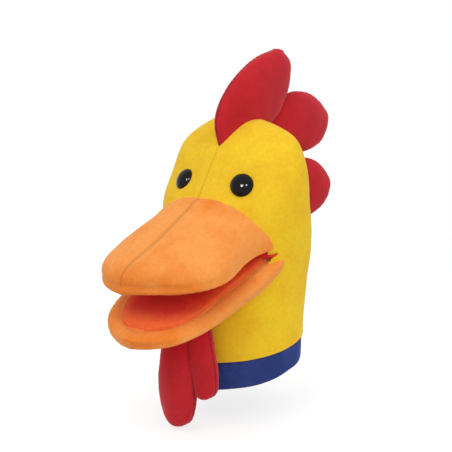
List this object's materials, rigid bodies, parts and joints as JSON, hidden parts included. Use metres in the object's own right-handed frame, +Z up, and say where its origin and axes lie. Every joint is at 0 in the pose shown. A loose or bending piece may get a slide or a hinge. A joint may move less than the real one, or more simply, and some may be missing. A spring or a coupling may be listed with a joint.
{
  "type": "plush rooster glove puppet",
  "caption": "Plush bird-head hand puppet: domed head on a sleeve with a banded cuff, wide padded beak hinged at the mouth fold, stuffed crest and throat lobes, button eyes.",
  "frame": {"origin": "on the cuff's axis, 5.6 mm above the slanted plane of the hem", "axes": "+Z up the sleeve to the crown, the beak points to -Y, +X is the puppet's own left"},
  "size_m": [0.123, 0.233, 0.2709],
  "materials": {
    "yellow_velour": "short-pile velour, matte with a soft sheen",
    "orange_velour": "short-pile velour, matte with a soft sheen",
    "red_velour": "short-pile velour, matte with a soft sheen",
    "mouth_velour": "short-pile velour, matte",
    "blue_velour": "short-pile velour, matte",
    "wadding": "loose polyester fibre",
    "lining_cloth": "plain woven lining",
    "eye_plastic": "polished moulded black",
    "washer_plastic": "moulded white"
  },
  "bodies": {
    "head": {"head_cover_left": "yellow_velour", "head_cover_right": "yellow_velour", "head_padding_left": "wadding", "head_padding_right": "wadding", "hand_lining": "lining_cloth", "cuff_band": "blue_velour", "eye_left": "eye_plastic", "eye_washer_left": "washer_plastic", "eye_right": "eye_plastic", "eye_washer_right": "washer_plastic"},
    "upper_beak": {"upper_beak_cover_left": "orange_velour", "upper_beak_cover_right": "orange_velour", "upper_beak_padding": "wadding", "palate": "mouth_velour", "finger_pocket": "lining_cloth"},
    "lower_beak": {"lower_beak_cover_left": "orange_velour", "lower_beak_cover_right": "orange_velour", "lower_beak_padding": "wadding", "mouth_floor": "mouth_velour", "thumb_pocket": "lining_cloth"},
    "comb_front": {"comb_front_cover_left": "red_velour", "comb_front_cover_right": "red_velour", "comb_front_stuffing": "wadding"},
    "comb_middle": {"comb_middle_cover_left": "red_velour", "comb_middle_cover_right": "red_velour", "comb_middle_stuffing": "wadding"},
    "comb_rear": {"comb_rear_cover_left": "red_velour", "comb_rear_cover_right": "red_velour", "comb_rear_stuffing": "wadding"},
    "wattle_right": {"wattle_right_cover_left": "red_velour", "wattle_right_cover_right": "red_velour", "wattle_right_stuffing": "wadding"},
    "wattle_left": {"wattle_left_cover_left": "red_velour", "wattle_left_cover_right": "red_velour", "wattle_left_stuffing": "wadding"}
  },
  "joints": [
    {"name": "upper_beak_hinge", "type": "hinge", "parent": "head", "child": "upper_beak", "pos_m": [0, -0.0115, 0.0895], "axis": [0.9962, 0.0872, 0], "range_deg": [-2, 4], "stiffness_Nm_per_rad": 0.3},
    {"name": "lower_beak_hinge", "type": "hinge", "parent": "head", "child": "lower_beak", "pos_m": [0, -0.0115, 0.0895], "axis": [0.9962, 0.0872, 0], "range_deg": [-10, 2], "stiffness_Nm_per_rad": 0.3},
    {"name": "comb_front_lean", "type": "hinge", "parent": "head", "child": "comb_front", "pos_m": [0, 0.01, 0.184], "axis": [0, 0.963, 0.2696], "range_deg": [-12, 12], "stiffness_Nm_per_rad": 0.03},
    {"name": "comb_middle_lean", "type": "hinge", "parent": "head", "child": "comb_middle", "pos_m": [0, 0.042, 0.167], "axis": [0, 0.5145, -0.8575], "range_deg": [-12, 12], "stiffness_Nm_per_rad": 0.03},
    {"name": "comb_rear_lean", "type": "hinge", "parent": "head", "child": "comb_rear", "pos_m": [0, 0.051, 0.128], "axis": [0, 0.1081, -0.9941], "range_deg": [-12, 12], "stiffness_Nm_per_rad": 0.03},
    {"name": "wattle_right_swing", "type": "hinge", "parent": "lower_beak", "child": "wattle_right", "pos_m": [0.0015, -0.066, 0.034], "axis": [1, 0, 0], "range_deg": [-15, 2], "stiffness_Nm_per_rad": 0.004},
    {"name": "wattle_left_swing", "type": "hinge", "parent": "lower_beak", "child": "wattle_left", "pos_m": [0.0265, -0.061, 0.038], "axis": [1, 0, 0], "range_deg": [-15, 2], "stiffness_Nm_per_rad": 0.004}
  ]
}
